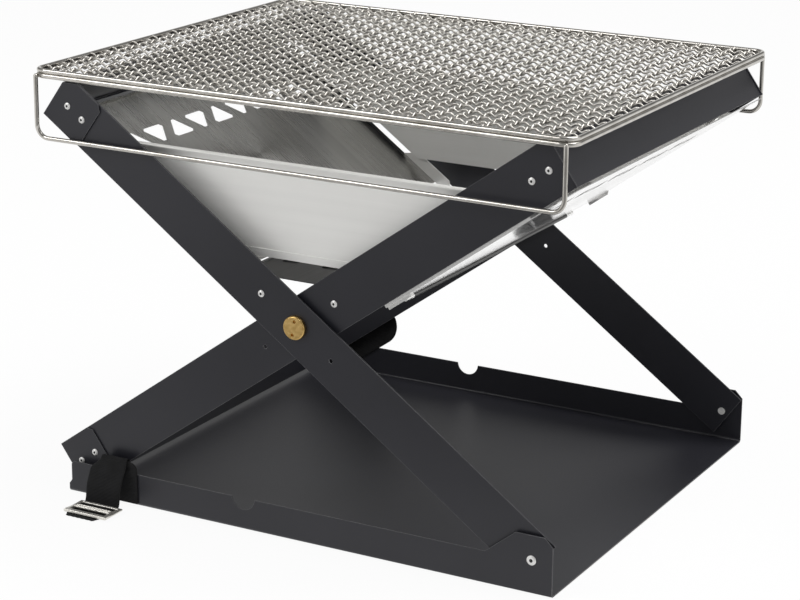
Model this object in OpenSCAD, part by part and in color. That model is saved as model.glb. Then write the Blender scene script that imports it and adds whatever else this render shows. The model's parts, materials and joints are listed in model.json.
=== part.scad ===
// Folding fire pit: an ash tray, two crossed leg frames, a fire bowl of stainless sheet
// and a woven wire grate. X runs along the near side, Y is the depth, Z is up.

/* [Legs] */
// Slope of the opened legs from level, in degrees
leg_angle = 35.6; // [33:0.1:38]
// Distance from the cross pivot to the tray hinge
leg_reach = 293; // [280:1:306]
// Length of leg past the tray hinge
leg_toe = 18; // [14:0.5:19]
// Width of a leg bar
leg_w = 48; // [44:0.5:49]
// Thickness of a leg bar
leg_t = 1.5; // [1.2:0.1:1.8]
// Gap between the outer and the inner legs
leg_gap = 4.2; // [4:0.1:5]
// How much shorter the lower ends of the inner legs are
inner_leg_cut = 4; // [3:0.5:6]

/* [Tray] */
// Sheet thickness of the tray
tray_t = 1.2; // [0.8:0.1:1.4]
// Height of the side flanges
flange_h = 31; // [28:0.5:32]
// Height of the hinge above the ground
hinge_z = 31.5; // [31.5:0.1:34]
// Tray floor past the hinge on the right
tray_right = 20; // [17:0.5:24]
// Left end of the tray, from the cross pivot
tray_left = 250; // [244:1:256]
// Height of the hinge ears
ear_h = 54.4; // [50:0.5:58]
// Width of an ear at its top
ear_top_w = 28; // [22:1:34]
// Run of the ramp from the flange up to the ear
ear_ramp = 29; // [20:1:40]
// Outer radius of the tray's bends
tray_bend_r = 3; // [2:0.5:5]

/* [Bowl] */
// Thickness of the stainless sheet
sheet_t = 0.8; // [0.6:0.1:0.9]
// Drop of the side panels below the legs
panel_drop = 2; // [1.5:0.1:2.5]
// Distance from the cross pivot to the lower edge of a side panel
panel_foot = 88; // [84:1:92]
// Depth of the bowl between its end panels
bowl_d = 397; // [380:1:400]
// Lower edge of the end panels above the cross pivots
end_low_rise = 54; // [50:1:62]
// Upper edge of the end panels above the cross pivots
end_top_rise = 143; // [136:1:147]
// Side slack of an end panel, which lets both fold flat
end_slack = 8; // [7.5:0.5:12]
// Depth of the turned-out top edge of an end panel
end_lip = 8; // [5:0.5:9]
// Height of the folded hem at the foot of an end panel
end_hem = 7; // [5:0.5:10]

/* [Vents] */
// Height of a vent along the panel
vent_h = 20; // [14:1:24]
// Long side of a vent
vent_w = 31; // [24:1:32]
// Short side of a vent
vent_tip = 5; // [3:0.5:8]
// Distance between vents
vent_pitch = 35; // [33:0.5:38]
// Vents in a row
vent_count = 9; // [3:2:9]
// Distance from the cross pivot to the middle of the vents
vent_at = 254; // [235:1:262]

/* [Grate] */
// Overhang of the grate past the corners of the legs
grate_over = 7.2; // [6.5:0.1:12]
// Diameter of the frame rod
rod = 4.8; // [4:0.1:5.6]
// Diameter of the border rod that the mesh ends on
border_rod = 4.4; // [4:0.1:5]
// Corner radius of the grate
grate_r = 12; // [9:0.5:20]
// Depth of the guard wires below the frame rod
guard_drop = 57; // [45:1:64]
// Bend radius of the guard wires
guard_r = 12; // [8:0.5:18]
// Diameter of the straight mesh wires
wire = 2.2; // [1.8:0.1:2.4]
// Distance between mesh wires along the length
wire_pitch_x = 17.7; // [15:0.1:22]
// Distance between mesh wires along the depth
wire_pitch_y = 16.9; // [15:0.1:22]

/* [Hardware] */
// Diameter of the pivot bolt's head
bolt_head = 22; // [18:0.5:23]
// How far the pivot bolt's head stands proud
bolt_proud = 4.5; // [4:0.5:8]
// Shank diameter of the pivot bolt
bolt_shank = 10; // [8:0.5:12]
// Shank diameter of the blind rivets
rivet = 3.2; // [2.8:0.2:3.6]
// Head diameter of the blind rivets
rivet_head = 6.4; // [5.6:0.2:7]
// Shank diameter of the tray hinge rivets
hinge_rivet = 5; // [4:0.2:6]
// Diameter of the bowl's hinge pins
pin = 2.4; // [2:0.1:2.4]

/* [Strap] */
// Width of the webbing
strap_w = 38; // [25:1:40]
// Thickness of the webbing
strap_t = 1.6; // [1.2:0.1:1.7]
// Left edge of the near strap, from the cross pivot
strap_at = 219.5; // [216:0.5:223]

/* [Hidden] */
$fn = 40;
// Clearances
run_gap = 0.05;
fit_gap = 0.05;
seat_gap = 0.3;
// Cross pivot and hinge places
pivot_z = hinge_z + leg_reach * sin(leg_angle);
hinge_x = leg_reach * cos(leg_angle);
folded_pivot_x = hinge_x - leg_reach;
leg_end = leg_reach + leg_toe;
end_low = pivot_z + end_low_rise;
end_top = pivot_z + end_top_rise;
inner_low_end = leg_end - inner_leg_cut;
outer_heel = 8;
outer_low_end = leg_reach + outer_heel;
// Layers across the depth, from the tray's flange inwards
bowl_room = 24;
tray_d = bowl_d + 2 * bowl_room;
flange_in = tray_d / 2 - tray_t;
hinge_gap = 2.7;
outer_leg_y = flange_in - hinge_gap;
outer_leg_in = outer_leg_y - leg_t;
inner_leg_y = outer_leg_in - leg_gap;
inner_leg_in = inner_leg_y - leg_t;
plate_t = 1.5;
// Side panels, below the legs
panel_n = -leg_w / 2 - panel_drop;
right_top = leg_end - 3;
left_top = inner_low_end - 2.2;
curl = 3.5;
wing_from = 30;
wing_to = leg_end - 53;
wing_up = 8;
// Hinges of the end panels
knuckle_r = pin / 2 + 1;
knuckle_lug = 14;
knuckle_gap = 0.4;
end_inset = 1.6;
end_axis_y = bowl_d / 2 + end_inset;
left_half = end_axis_y + knuckle_r + 0.2;
axis_lift = 1.2;
end_axis_n = panel_n + knuckle_r + axis_lift;
end_clear = 1.6;
// Hinge of the bottom plate
foot_s = panel_foot - 3.5;
foot_n = panel_n - 1.4;
plate_y = bowl_d / 2 - 26;
// Levels of the grate
leg_land = 16.85;
outer_land = pivot_z + sin(leg_angle) * leg_end + cos(leg_angle) * leg_land;
rod_z = outer_land + seat_gap + rod / 2;
border_z = rod_z + rod / 2 + border_rod / 2;
wave = wire / 2 + wire * 0.4 + 0.35;
strip_t = wire * 0.8;
rod_y = tray_d / 2 - rod / 2;
tip_x = cos(leg_angle) * leg_end + sin(leg_angle) * leg_w / 2;
rod_x = tip_x + grate_over - rod / 2;
grate_shift = -6;
mesh_low = border_z - wave - strip_t / 2;
inner_land = mesh_low - seat_gap;
head_h = 1.2;
guard_rod = rod - 0.6;
guard_y = outer_leg_y + plate_t + head_h + seat_gap + guard_rod / 2;
// Rivet places along a leg
tab_from = leg_end - 45;
tab_rivets = [leg_end - 34, leg_end - 15];
mid_rivet = 44;
spare_hole = 4;
tab_chamfer = 5;

powder_black = [0.13, 0.13, 0.14];
stainless = [0.75, 0.75, 0.74];
brass_gold = [0.83, 0.62, 0.25];
rivet_silver = [0.85, 0.85, 0.84];
webbing_black = [0.06, 0.06, 0.06];

// Leg frame B: local x runs up the leg from the cross pivot, local z is square to it
module in_frame_b() {
    translate([0, 0, pivot_z])
        rotate([0, -leg_angle, 0])
            children();
}

// Leg frame A is frame B turned half round
module in_frame_a() {
    rotate([0, 0, 180])
        in_frame_b()
            children();
}

// A flat outline in local x and z, between two places in y
module slab(y0, y1) {
    translate([0, max(y0, y1), 0])
        rotate([90, 0, 0])
            linear_extrude(abs(y1 - y0))
                children();
}

module cross_hole(r, x, z, y0, y1) {
    translate([x, max(y0, y1), z])
        rotate([90, 0, 0])
            cylinder(r = r, h = abs(y1 - y0));
}

// Place on frame A or B, in world x and z, for s along the leg and n across it
function on_leg(s, n, side) =
    [side * (cos(leg_angle) * s - sin(leg_angle) * n),
     pivot_z + sin(leg_angle) * s + cos(leg_angle) * n];
// Way along the leg to a world height, at n across it
function leg_at(z, n) = (z - pivot_z - cos(leg_angle) * n) / sin(leg_angle);
// Way along the leg where a level land cuts the leg's upper edge
function land_at(z) = leg_at(z, leg_w / 2);
// Height across the leg where the land cuts the leg's end
function land_n(z) = (z - pivot_z - sin(leg_angle) * leg_end) / cos(leg_angle);

module leg_outline(low_end, land) {
    polygon([[-low_end, -leg_w / 2], [leg_end, -leg_w / 2], [leg_end, land_n(land)],
        [land_at(land), leg_w / 2], [-low_end, leg_w / 2]]);
}

module leg(y0, low_end, land, hinge_hole, low_rivets) {
    out = sign(y0);
    y1 = y0 + out * leg_t;
    difference() {
        slab(y0, y1)
            leg_outline(low_end, land);
        cross_hole(bolt_shank / 2 + run_gap, 0, 0, y0 - out, y1 + out);
        cross_hole(spare_hole / 2, -mid_rivet, 0, y0 - out, y1 + out);
        for (s = concat(tab_rivets, [mid_rivet], low_rivets))
            cross_hole(rivet / 2 + fit_gap, s, 0, y0 - out, y1 + out);
        if (hinge_hole)
            cross_hole(hinge_rivet / 2 + fit_gap, -leg_reach, 0, y0 - out, y1 + out);
    }
}

module outer_leg(side) {
    color(powder_black)
        in_frame_a()
            leg(-side * outer_leg_in, outer_low_end, outer_land, true, []);
}

module inner_leg(side) {
    color(powder_black)
        in_frame_b()
            leg(side * inner_leg_in, inner_low_end, inner_land, false, -tab_rivets);
}

module near_leg_a() { outer_leg(-1); }
module far_leg_a() { outer_leg(1); }
module near_leg_b() { inner_leg(-1); }
module far_leg_b() { inner_leg(1); }

// Tab of an end plate, from its inner end to the leg's end, with its corners cut
module tab_outline(to, top_n, land_s) {
    polygon([[tab_from, -leg_w / 2 + tab_chamfer], [tab_from + tab_chamfer, -leg_w / 2],
        [to, -leg_w / 2], [to, top_n], [land_s, leg_w / 2],
        [tab_from + tab_chamfer, leg_w / 2], [tab_from, leg_w / 2 - tab_chamfer]]);
}

// Plate across the end of a frame with a riveted tab along each leg
module end_plate(end, tab_y, out, top_n, land_s) {
    face = tab_y + out * plate_t;
    reach = max(tab_y, face);
    difference() {
        union() {
            slab(-reach, reach)
                polygon([[end, -leg_w / 2], [end + plate_t, -leg_w / 2],
                    [end + plate_t, top_n], [end, top_n]]);
            for (side = [-1, 1])
                slab(side * tab_y, side * face)
                    tab_outline(end + plate_t, top_n, land_s);
        }
        for (s = tab_rivets)
            cross_hole(rivet / 2 + fit_gap, s, 0, -reach - 1, reach + 1);
    }
}

// Frame A's plate has a folded lip below it, which closes the gap above the left panel
lip_n = -leg_w / 2 - 6;
lip_s = leg_end - 2.1;
lip_t = 0.8;
module end_plate_a() {
    color(powder_black)
        in_frame_a()
            union() {
                end_plate(leg_end, outer_leg_y, 1, land_n(outer_land) - 2, land_at(outer_land) - 2);
                slab(-left_half, left_half)
                    polygon([[leg_end + plate_t, lip_n], [leg_end + plate_t, -leg_w / 2],
                        [lip_s, -leg_w / 2], [lip_s, lip_n], [lip_s + lip_t, lip_n],
                        [lip_s + lip_t, -leg_w / 2 - lip_t], [leg_end, -leg_w / 2 - lip_t],
                        [leg_end, lip_n]]);
            }
}

module upper_plate_b() {
    color(powder_black)
        in_frame_b()
            end_plate(leg_end - plate_t - 1, inner_leg_in, -1, land_n(inner_land) - 2,
                land_at(inner_land) - 2);
}

module lower_plate_b() {
    color(powder_black)
        in_frame_b()
            rotate([0, 180, 0])
                end_plate(inner_low_end, inner_leg_y, 1, leg_w / 2 - 1, inner_low_end - 2);
}

// Blind rivet whose head sits at y0 and faces away from the middle
tail_h = 0.5;
module blind_rivet(s, side, y0, y1) {
    translate([s, side * y0, 0])
        rotate([side * -90, 0, 0]) {
            rotate_extrude()
                polygon([[0, 0.2], [rivet / 4, 0.2], [rivet / 4, head_h],
                    [rivet_head * 0.3, head_h], [rivet_head / 2, head_h * 0.3],
                    [rivet_head / 2, 0], [0, 0]]);
            translate([0, 0, y1 - y0])
                cylinder(d = rivet, h = y0 - y1);
            translate([0, 0, y1 - y0 - tail_h])
                cylinder(d = rivet * 1.4, h = tail_h);
        }
}

module plate_rivets_a() {
    color(rivet_silver)
        in_frame_a()
            for (side = [-1, 1], s = tab_rivets)
                blind_rivet(s, side, outer_leg_y + plate_t, outer_leg_in);
}

module plate_rivets_b() {
    color(rivet_silver)
        in_frame_b()
            for (side = [-1, 1], s = tab_rivets) {
                blind_rivet(s, side, inner_leg_y, inner_leg_in - plate_t);
                blind_rivet(-s, side, inner_leg_y + plate_t, inner_leg_in);
            }
}

// Spacers on the outer legs, riveted, which keep the folded legs apart
spacer_d = 14;
spacer_h = leg_gap - 0.6;
module spacer_rivets_a() {
    color(rivet_silver)
        in_frame_a()
            for (side = [-1, 1])
                blind_rivet(mid_rivet, side, outer_leg_y, outer_leg_in - spacer_h + tail_h);
}

module leg_spacers() {
    color(powder_black)
        in_frame_a()
            for (side = [-1, 1])
                difference() {
                    translate([mid_rivet, side * outer_leg_in, 0])
                        rotate([side * 90, 0, 0])
                            cylinder(d = spacer_d, h = spacer_h);
                    cross_hole(rivet / 2 + fit_gap, mid_rivet, 0, side * (outer_leg_in - spacer_h - 1),
                        side * (outer_leg_in + 1));
                    cross_hole(rivet * 0.7 + fit_gap, mid_rivet, 0, side * (outer_leg_in - spacer_h - 1),
                        side * (outer_leg_in - spacer_h + tail_h));
                }
}

module panel_rivets_b() {
    color(rivet_silver)
        in_frame_b()
            for (side = [-1, 1])
                blind_rivet(mid_rivet, side, inner_leg_y, inner_leg_in - sheet_t);
}

// One vent: a triangle with its corners cut, point up or down
module vent(up) {
    dir = up ? 1 : -1;
    cut = 3;
    polygon([[-dir * vent_h / 2, -vent_w / 2 + cut], [-dir * (vent_h / 2 - cut), -vent_w / 2],
        [dir * vent_h / 2, -vent_tip / 2], [dir * vent_h / 2, vent_tip / 2],
        [-dir * (vent_h / 2 - cut), vent_w / 2], [-dir * vent_h / 2, vent_w / 2 - cut]]);
}

// Knuckle of a hinge: a short tube along local x
module knuckle(s0, s1, y, n) {
    translate([s0, y, n])
        rotate([0, 90, 0])
            cylinder(r = knuckle_r, h = s1 - s0);
}

// Span of an end panel's hinged edge along the leg
edge_n = panel_n + end_clear;
edge_low = leg_at(end_low, edge_n);
edge_top = leg_at(end_top, edge_n);
lug_t = 1.6;
lug_inset = 6;
lug_low = edge_low + lug_inset;
lug_top = edge_top - lug_inset - 10 - knuckle_lug;

// Side panel of the bowl, with wings riveted to the legs, lugs for the end panel
// and for the bottom plate, and a turned-down ear at each lower corner
ear_drop = 2.8;
ear_len = 24;
ear_in = 3;
module side_panel(half, top) {
    difference() {
        union() {
            translate([panel_foot, -half, panel_n - sheet_t])
                cube([top - panel_foot, 2 * half, sheet_t]);
            for (side = [-1, 1])
                slab(side * (half - ear_in), side * (half - ear_in - sheet_t))
                    polygon([[panel_foot, panel_n], [panel_foot, panel_n - sheet_t - ear_drop],
                        [panel_foot + ear_len, panel_n - sheet_t - ear_drop],
                        [panel_foot + ear_len + 4, panel_n]]);
            for (s = [lug_low, lug_top]) {
                knuckle(s, s + knuckle_lug, end_axis_y, end_axis_n);
                translate([s, end_axis_y - lug_t / 2, panel_n - sheet_t / 2])
                    cube([knuckle_lug, lug_t, end_axis_n - panel_n + sheet_t / 2]);
            }
            for (side = [-1, 1])
                foot_lug(side);
            children();
        }
        knuckle_bore(lug_low - 1, edge_top, end_axis_y, end_axis_n);
        foot_bore(plate_y + 8);
        for (i = [0 : vent_count - 1])
            translate([vent_at, (i - (vent_count - 1) / 2) * vent_pitch, panel_n - 2])
                linear_extrude(4)
                    vent(i % 2 == 0);
    }
}

// Wings that rivet the right panel to the inner legs
module wings() {
    for (side = [-1, 1])
        difference() {
            slab(side * (inner_leg_in - sheet_t), side * inner_leg_in)
                polygon([[panel_foot, panel_n - sheet_t], [wing_to, panel_n - sheet_t],
                    [wing_to - 12, wing_up], [wing_from + 4, wing_up], [wing_from, wing_up - 4],
                    [wing_from, -wing_up], [panel_foot, panel_n + 4]]);
            cross_hole(rivet / 2 + fit_gap, mid_rivet, 0, side * (inner_leg_in - 2),
                side * (inner_leg_in + 1));
        }
}

// Upturned top edge of the left panel
module top_curl() {
    translate([left_top - sheet_t, -left_half, panel_n - sheet_t])
        cube([sheet_t, 2 * left_half, sheet_t + curl]);
}

module knuckle_bore(s0, s1, y, n) {
    translate([s0, y, n])
        rotate([0, 90, 0])
            cylinder(r = pin / 2 + run_gap, h = s1 - s0);
}

// Lug for the bottom plate's pin at one end of the panel's lower edge
module foot_lug(side) {
    y0 = side > 0 ? plate_y - knuckle_lug : -plate_y;
    translate([foot_s, y0, foot_n])
        rotate([-90, 0, 0])
            cylinder(r = knuckle_r, h = knuckle_lug);
    translate([foot_s, y0, panel_n - sheet_t])
        cube([panel_foot - foot_s + 1, knuckle_lug, sheet_t]);
}

module foot_bore(half) {
    translate([foot_s, -half, foot_n])
        rotate([-90, 0, 0])
            cylinder(r = pin / 2 + run_gap, h = 2 * half);
}

module left_panel() {
    color(stainless)
        in_frame_a()
            side_panel(left_half, left_top)
                top_curl();
}

module right_panel() {
    color(stainless)
        in_frame_b()
            side_panel(inner_leg_in, right_top)
                wings();
}

// End panel: a trapezoid sheet with a turned-out lip at the top and a hem at the foot,
// on knuckles along its sloping edge. Drawn for the far side, hinged on frame B
free_n = panel_n + end_slack;
function edge_pt(z) = on_leg(leg_at(z, edge_n), edge_n, 1);
function free_pt(z) = on_leg(leg_at(z, free_n), free_n, -1);
module end_sheet(z0, z1) {
    polygon([edge_pt(z0), edge_pt(z1), free_pt(z1), free_pt(z0)]);
}

module end_panel() {
    y0 = bowl_d / 2 - sheet_t;
    lip_clear = 40;
    difference() {
        union() {
            slab(y0, y0 + sheet_t)
                end_sheet(end_low, end_top);
            slab(y0, y0 + 2 * sheet_t)
                end_sheet(end_low, end_low + end_hem);
            slab(y0, y0 + end_lip)
                polygon([[edge_pt(end_top)[0] - lip_clear, end_top - sheet_t],
                    [edge_pt(end_top)[0] - lip_clear, end_top],
                    [free_pt(end_top)[0] + lip_clear, end_top],
                    [free_pt(end_top)[0] + lip_clear, end_top - sheet_t]]);
            in_frame_b()
                knuckle(lug_low + knuckle_lug + knuckle_gap, lug_top - knuckle_gap,
                    end_axis_y, end_axis_n);
        }
        in_frame_b() {
            knuckle_bore(edge_low, edge_top, end_axis_y, end_axis_n);
            for (s = [lug_low, lug_top])
                translate([s - knuckle_gap, y0 - 1, panel_n - 1])
                    cube([knuckle_lug + 2 * knuckle_gap, 12, end_axis_n - panel_n + knuckle_r + 1.5]);
        }
    }
}

module end_pin() {
    in_frame_b()
        translate([lug_low - 1.5, end_axis_y, end_axis_n])
            rotate([0, 90, 0])
                cylinder(d = pin, h = lug_top + knuckle_lug + 3 - lug_low);
}

module far_panel() { color(stainless) end_panel(); }
module far_panel_pin() { color(rivet_silver) end_pin(); }
module near_panel() { color(stainless) rotate([0, 0, 180]) end_panel(); }
module near_panel_pin() { color(rivet_silver) rotate([0, 0, 180]) end_pin(); }

// Bottom plate: level, slotted, on a pin along the left panel's lower edge
foot_pt = on_leg(foot_s, foot_n, -1);
slot_l = 18;
slot_w = 11;
slot_rows = 4;
slot_cols = 5;
slot_pitch_y = plate_y / 2.83;
module bottom_plate() {
    span = -2 * foot_pt[0];
    color(stainless)
        difference() {
            union() {
                translate([foot_pt[0], -plate_y, foot_pt[1] - sheet_t / 2])
                    cube([span, 2 * plate_y, sheet_t]);
                for (side = [-1, 1])
                    plate_tube(side, knuckle_r, plate_y - knuckle_lug - knuckle_gap);
            }
            for (side = [-1, 1]) {
                plate_tube(side, pin / 2 + run_gap, plate_y + 1);
                for (end = [-1, 1])
                    translate([side * foot_pt[0], end * (plate_y - knuckle_lug / 2), foot_pt[1]])
                        cube([2 * knuckle_r + 4, knuckle_lug + 2 * knuckle_gap, 8], center = true);
            }
            for (i = [0 : slot_rows - 1], j = [0 : slot_cols - 1])
                translate([span * (i - (slot_rows - 1) / 2) / slot_rows,
                    (j - (slot_cols - 1) / 2) * slot_pitch_y, foot_pt[1] - 2])
                    linear_extrude(4)
                        slot();
        }
}

// Tube along one hinged edge of the bottom plate
module plate_tube(side, r, half) {
    translate([side * foot_pt[0], -half, foot_pt[1]])
        rotate([-90, 0, 0])
            cylinder(r = r, h = 2 * half);
}

module slot() {
    square([slot_l - slot_w, slot_w], center = true);
    for (side = [-1, 1])
        translate([side * (slot_l - slot_w) / 2, 0])
            circle(d = slot_w);
}

module bottom_plate_pins() {
    color(rivet_silver)
        for (side = [-1, 1])
            plate_tube(side, pin / 2, plate_y + 1.5);
}

// Cross pivots: bolts with spanner holes, and washers between the legs
module pivot_bolt() {
    in_y = inner_leg_in - 2.5;
    spanner_r = 1.5;
    spanner_at = bolt_head * 0.29;
    spanner_turn = -10;
    translate([0, 0, pivot_z])
        rotate([-90, 0, 0])
            difference() {
                union() {
                    translate([0, 0, in_y])
                        cylinder(d = bolt_shank, h = outer_leg_y + 1 - in_y);
                    translate([0, 0, outer_leg_y + 0.1])
                        rotate_extrude()
                            polygon([[0, 0], [bolt_head / 2, 0], [bolt_head / 2, bolt_proud - 1],
                                [bolt_head / 2 - 1, bolt_proud], [0, bolt_proud]]);
                    translate([0, 0, in_y])
                        cylinder(d = bolt_shank * 1.6, h = 2.2);
                }
                for (side = [-1, 1])
                    rotate([0, 0, spanner_turn])
                        translate([0, side * spanner_at, outer_leg_y + bolt_proud - 2.5])
                            cylinder(r = spanner_r, h = 4);
            }
}

module pivot_bolts() {
    color(brass_gold) {
        pivot_bolt();
        rotate([0, 0, 180])
            pivot_bolt();
    }
}

module pivot_washers() {
    color(rivet_silver)
        for (side = [0, 180])
            rotate([0, 0, side])
                translate([0, 0, pivot_z])
                    rotate([-90, 0, 0])
                        translate([0, 0, inner_leg_y + 0.1])
                            difference() {
                                cylinder(d = bolt_shank * 2, h = leg_gap - 0.2);
                                translate([0, 0, -1])
                                    cylinder(r = bolt_shank / 2 + fit_gap, h = leg_gap + 2);
                            }
}

// Tray hinge rivets and the washers that space the legs from the ears
module hinge_rivet_one() {
    ear_y1 = tray_d / 2 + 0.1;
    translate([hinge_x, 0, hinge_z])
        rotate([-90, 0, 0]) {
            translate([0, 0, outer_leg_in - 0.8])
                cylinder(d = hinge_rivet, h = ear_y1 - outer_leg_in + 0.8);
            translate([0, 0, ear_y1])
                rotate_extrude()
                    polygon([[0, 0], [hinge_rivet * 0.9, 0], [hinge_rivet * 0.9, 0.5],
                        [hinge_rivet * 0.6, 1.3], [0, 1.3]]);
            translate([0, 0, outer_leg_in - 0.8])
                cylinder(d = hinge_rivet * 1.5, h = 0.7);
        }
}

module hinge_rivets() {
    color(rivet_silver) {
        hinge_rivet_one();
        mirror([0, 1, 0])
            hinge_rivet_one();
    }
}

module hinge_washers() {
    color(rivet_silver)
        for (side = [0, 1])
            mirror([0, side, 0])
                translate([hinge_x, outer_leg_y + 0.1, hinge_z])
                    rotate([-90, 0, 0])
                        difference() {
                            cylinder(d = hinge_rivet * 2.4, h = hinge_gap - 0.2);
                            translate([0, 0, -1])
                                cylinder(r = hinge_rivet / 2 + fit_gap, h = hinge_gap + 2);
                        }
}

// Ash tray: a folded channel, trimmed to the outline of its flanges
module channel_profile(half, r, h) {
    translate([-half + r, 0])
        square([2 * (half - r), h]);
    translate([-half, r])
        square([2 * half, h - r]);
    for (side = [-1, 1])
        translate([side * (half - r), r])
            circle(r = r);
}

module tray() {
    ear_x = hinge_x + tray_right;
    top_x = ear_x - ear_top_w - 8;
    notch_r = bolt_head / 2 + 1;
    color(powder_black)
        difference() {
            intersection() {
                translate([-tray_left - 1, 0, 0])
                    rotate([90, 0, 90])
                        linear_extrude(tray_left + ear_x + 2)
                            difference() {
                                channel_profile(tray_d / 2, tray_bend_r, ear_h + 1);
                                translate([0, tray_t])
                                    channel_profile(flange_in, tray_bend_r - tray_t + 0.2, ear_h + 1);
                            }
                slab(-tray_d, tray_d)
                    polygon([[-tray_left, -1], [-tray_left, 8], [-tray_left + 3, 12],
                        [-tray_left + 3, flange_h - 3], [-tray_left + 6, flange_h],
                        [top_x - ear_ramp, flange_h], [top_x, ear_h], [top_x + ear_top_w, ear_h],
                        [ear_x, ear_h - 8], [ear_x, -1]]);
            }
            translate([folded_pivot_x, 0, hinge_z])
                rotate([90, 0, 0])
                    cylinder(r = notch_r, h = 2 * tray_d, center = true);
            for (side = [-1, 1])
                cross_hole(hinge_rivet / 2 + run_gap, hinge_x, hinge_z, side * (flange_in - 1),
                    side * (tray_d / 2 + 1));
        }
}

// Flat path of webbing in y and z, thickened by the strap's thickness
function turn_left(v) = [-v[1], v[0]] / norm(v);
function side_pts(p, off) = [for (i = [0 : len(p) - 1])
    p[i] + off * turn_left(p[min(i + 1, len(p) - 1)] - p[max(i - 1, 0)])];
function backwards(p) = [for (i = [len(p) - 1 : -1 : 0]) p[i]];
module web(path, t) {
    polygon(concat(side_pts(path, t / 2), backwards(side_pts(path, -t / 2))));
}

// Near strap: over the flange, down its outside and out to the buckle on the ground
strap_in = flange_in - 0.5 - strap_t / 2;
strap_out = tray_d / 2 + strap_t * 1.5 + 0.6;
strap_mid = (strap_in + strap_out) / 2;
strap_loop = (strap_out - strap_in) / 2;
strap_top = flange_h + 10.5;
strap_lie = strap_t / 2 + 0.1;
near_route = concat([[strap_in, 8], [strap_in, 25]],
    [for (a = [0 : 30 : 180]) [strap_mid - strap_loop * cos(a), strap_top + strap_loop * sin(a)]],
    [[strap_out + 2.5, strap_top - 7], [strap_out + 6.5, strap_top - 14.5],
     [strap_out + 10.5, strap_top - 23], [strap_out + 12, 10], [strap_out + 12.8, 5],
     [strap_out + 14, 2.2], [strap_out + 17, strap_lie], [strap_out + 50, strap_lie]]);
// Second layer: it hangs on the flange's outside, and its top stands inside the loop
hang_y = tray_d / 2 + seat_gap + strap_t / 2;
hang_top = strap_top + 0.8;
strap_hang = [[strap_mid, hang_top], [strap_mid, flange_h + 5], [hang_y, flange_h + 1], [hang_y, 2]];
hang_shift = 10.5;
module near_strap() {
    color(webbing_black) {
        translate([-strap_at, 0, 0])
            mirror([0, 1, 0])
                rotate([90, 0, 90])
                    linear_extrude(strap_w)
                        web(near_route, strap_t);
        translate([-strap_at + hang_shift, 0, 0])
            mirror([0, 1, 0])
                rotate([90, 0, 90])
                    linear_extrude(strap_w)
                        web(strap_hang, strap_t);
    }
}

// Far strap: its rounded end stands up between the flange and the outer leg
far_from = [-205, 30];
far_tip = [-164, 59];
far_w = strap_w + 8;
module far_strap() {
    run = far_tip - far_from;
    color(webbing_black)
        slab(strap_in - strap_t / 2, strap_in + strap_t / 2)
            translate(far_from)
                rotate(atan2(run[1], run[0])) {
                    translate([0, -far_w / 2])
                        square([norm(run), far_w]);
                    translate([norm(run), 0])
                        circle(d = far_w);
                    circle(d = far_w);
                }
}

// Ladder buckle: a flat nickel frame with two slots, round the webbing on the ground
buckle_w = strap_w + 9;
buckle_d = 28;
buckle_out = 32.5;
buckle_shift = 3.5;
buckle_bar = 4;
buckle_slot = buckle_d / 2 - 1.5 * buckle_bar;
buckle_z = strap_lie + strap_t / 2 + seat_gap;
module strap_buckle() {
    color(rivet_silver)
        translate([-strap_at + strap_w / 2 + buckle_shift, -strap_out - buckle_out, buckle_z])
            difference() {
                translate([-buckle_w / 2, -buckle_d / 2, 0])
                    cube([buckle_w, buckle_d, 2]);
                for (side = [-1, 1])
                    translate([-strap_w / 2 - 0.5, side * buckle_d / 4 - buckle_slot / 2, -1])
                        cube([strap_w + 1, buckle_slot, 4]);
            }
}

// Closed loop of round rod with rounded corners, level at z
module rod_loop(x, y, r, d, z) {
    for (side = [-1, 1]) {
        translate([-x + r, side * y, z])
            rotate([0, 90, 0])
                cylinder(d = d, h = 2 * (x - r));
        translate([side * x, -y + r, z])
            rotate([-90, 0, 0])
                cylinder(d = d, h = 2 * (y - r));
    }
    for (i = [0 : 3])
        translate([(i == 0 || i == 3 ? 1 : -1) * (x - r), (i < 2 ? 1 : -1) * (y - r), z])
            rotate([0, 0, 90 * i])
                rotate_extrude(angle = 90)
                    translate([r, 0])
                        circle(d = d);
}

// Guard wire: a wide U that hangs from the frame rod on one side
guard_x = rod_x - 5;
guard_weld = 6;
module guard_wire(y) {
    low = rod_z - guard_drop;
    for (side = [-1, 1]) {
        translate([side * guard_x, y, low + guard_r])
            cylinder(d = guard_rod, h = guard_drop - guard_r);
        translate([side * guard_x, y, rod_z])
            sphere(d = guard_rod);
        translate([side * guard_x, y, rod_z])
            rotate([sign(y) * 90, 0, 0])
                cylinder(d = guard_rod, h = guard_weld);
        translate([side * (guard_x - guard_r), y, low + guard_r])
            rotate([90, 0, 0])
                rotate([0, 0, side > 0 ? 270 : 180])
                    rotate_extrude(angle = 90)
                        translate([guard_r, 0])
                            circle(d = guard_rod);
    }
    translate([-guard_x + guard_r, y, low])
        rotate([0, 90, 0])
            cylinder(d = guard_rod, h = 2 * (guard_x - guard_r));
}

module grate_frame() {
    color(stainless)
        translate([grate_shift, 0, 0]) {
            rod_loop(rod_x, rod_y, grate_r, rod, rod_z);
            for (side = [-1, 1])
                guard_wire(side * guard_y);
        }
}

module mesh_border() {
    color(stainless)
        translate([grate_shift, 0, 0])
            rod_loop(rod_x - 0.2, rod_y - 0.2, grate_r, border_rod, border_z + 0.02);
}

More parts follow.
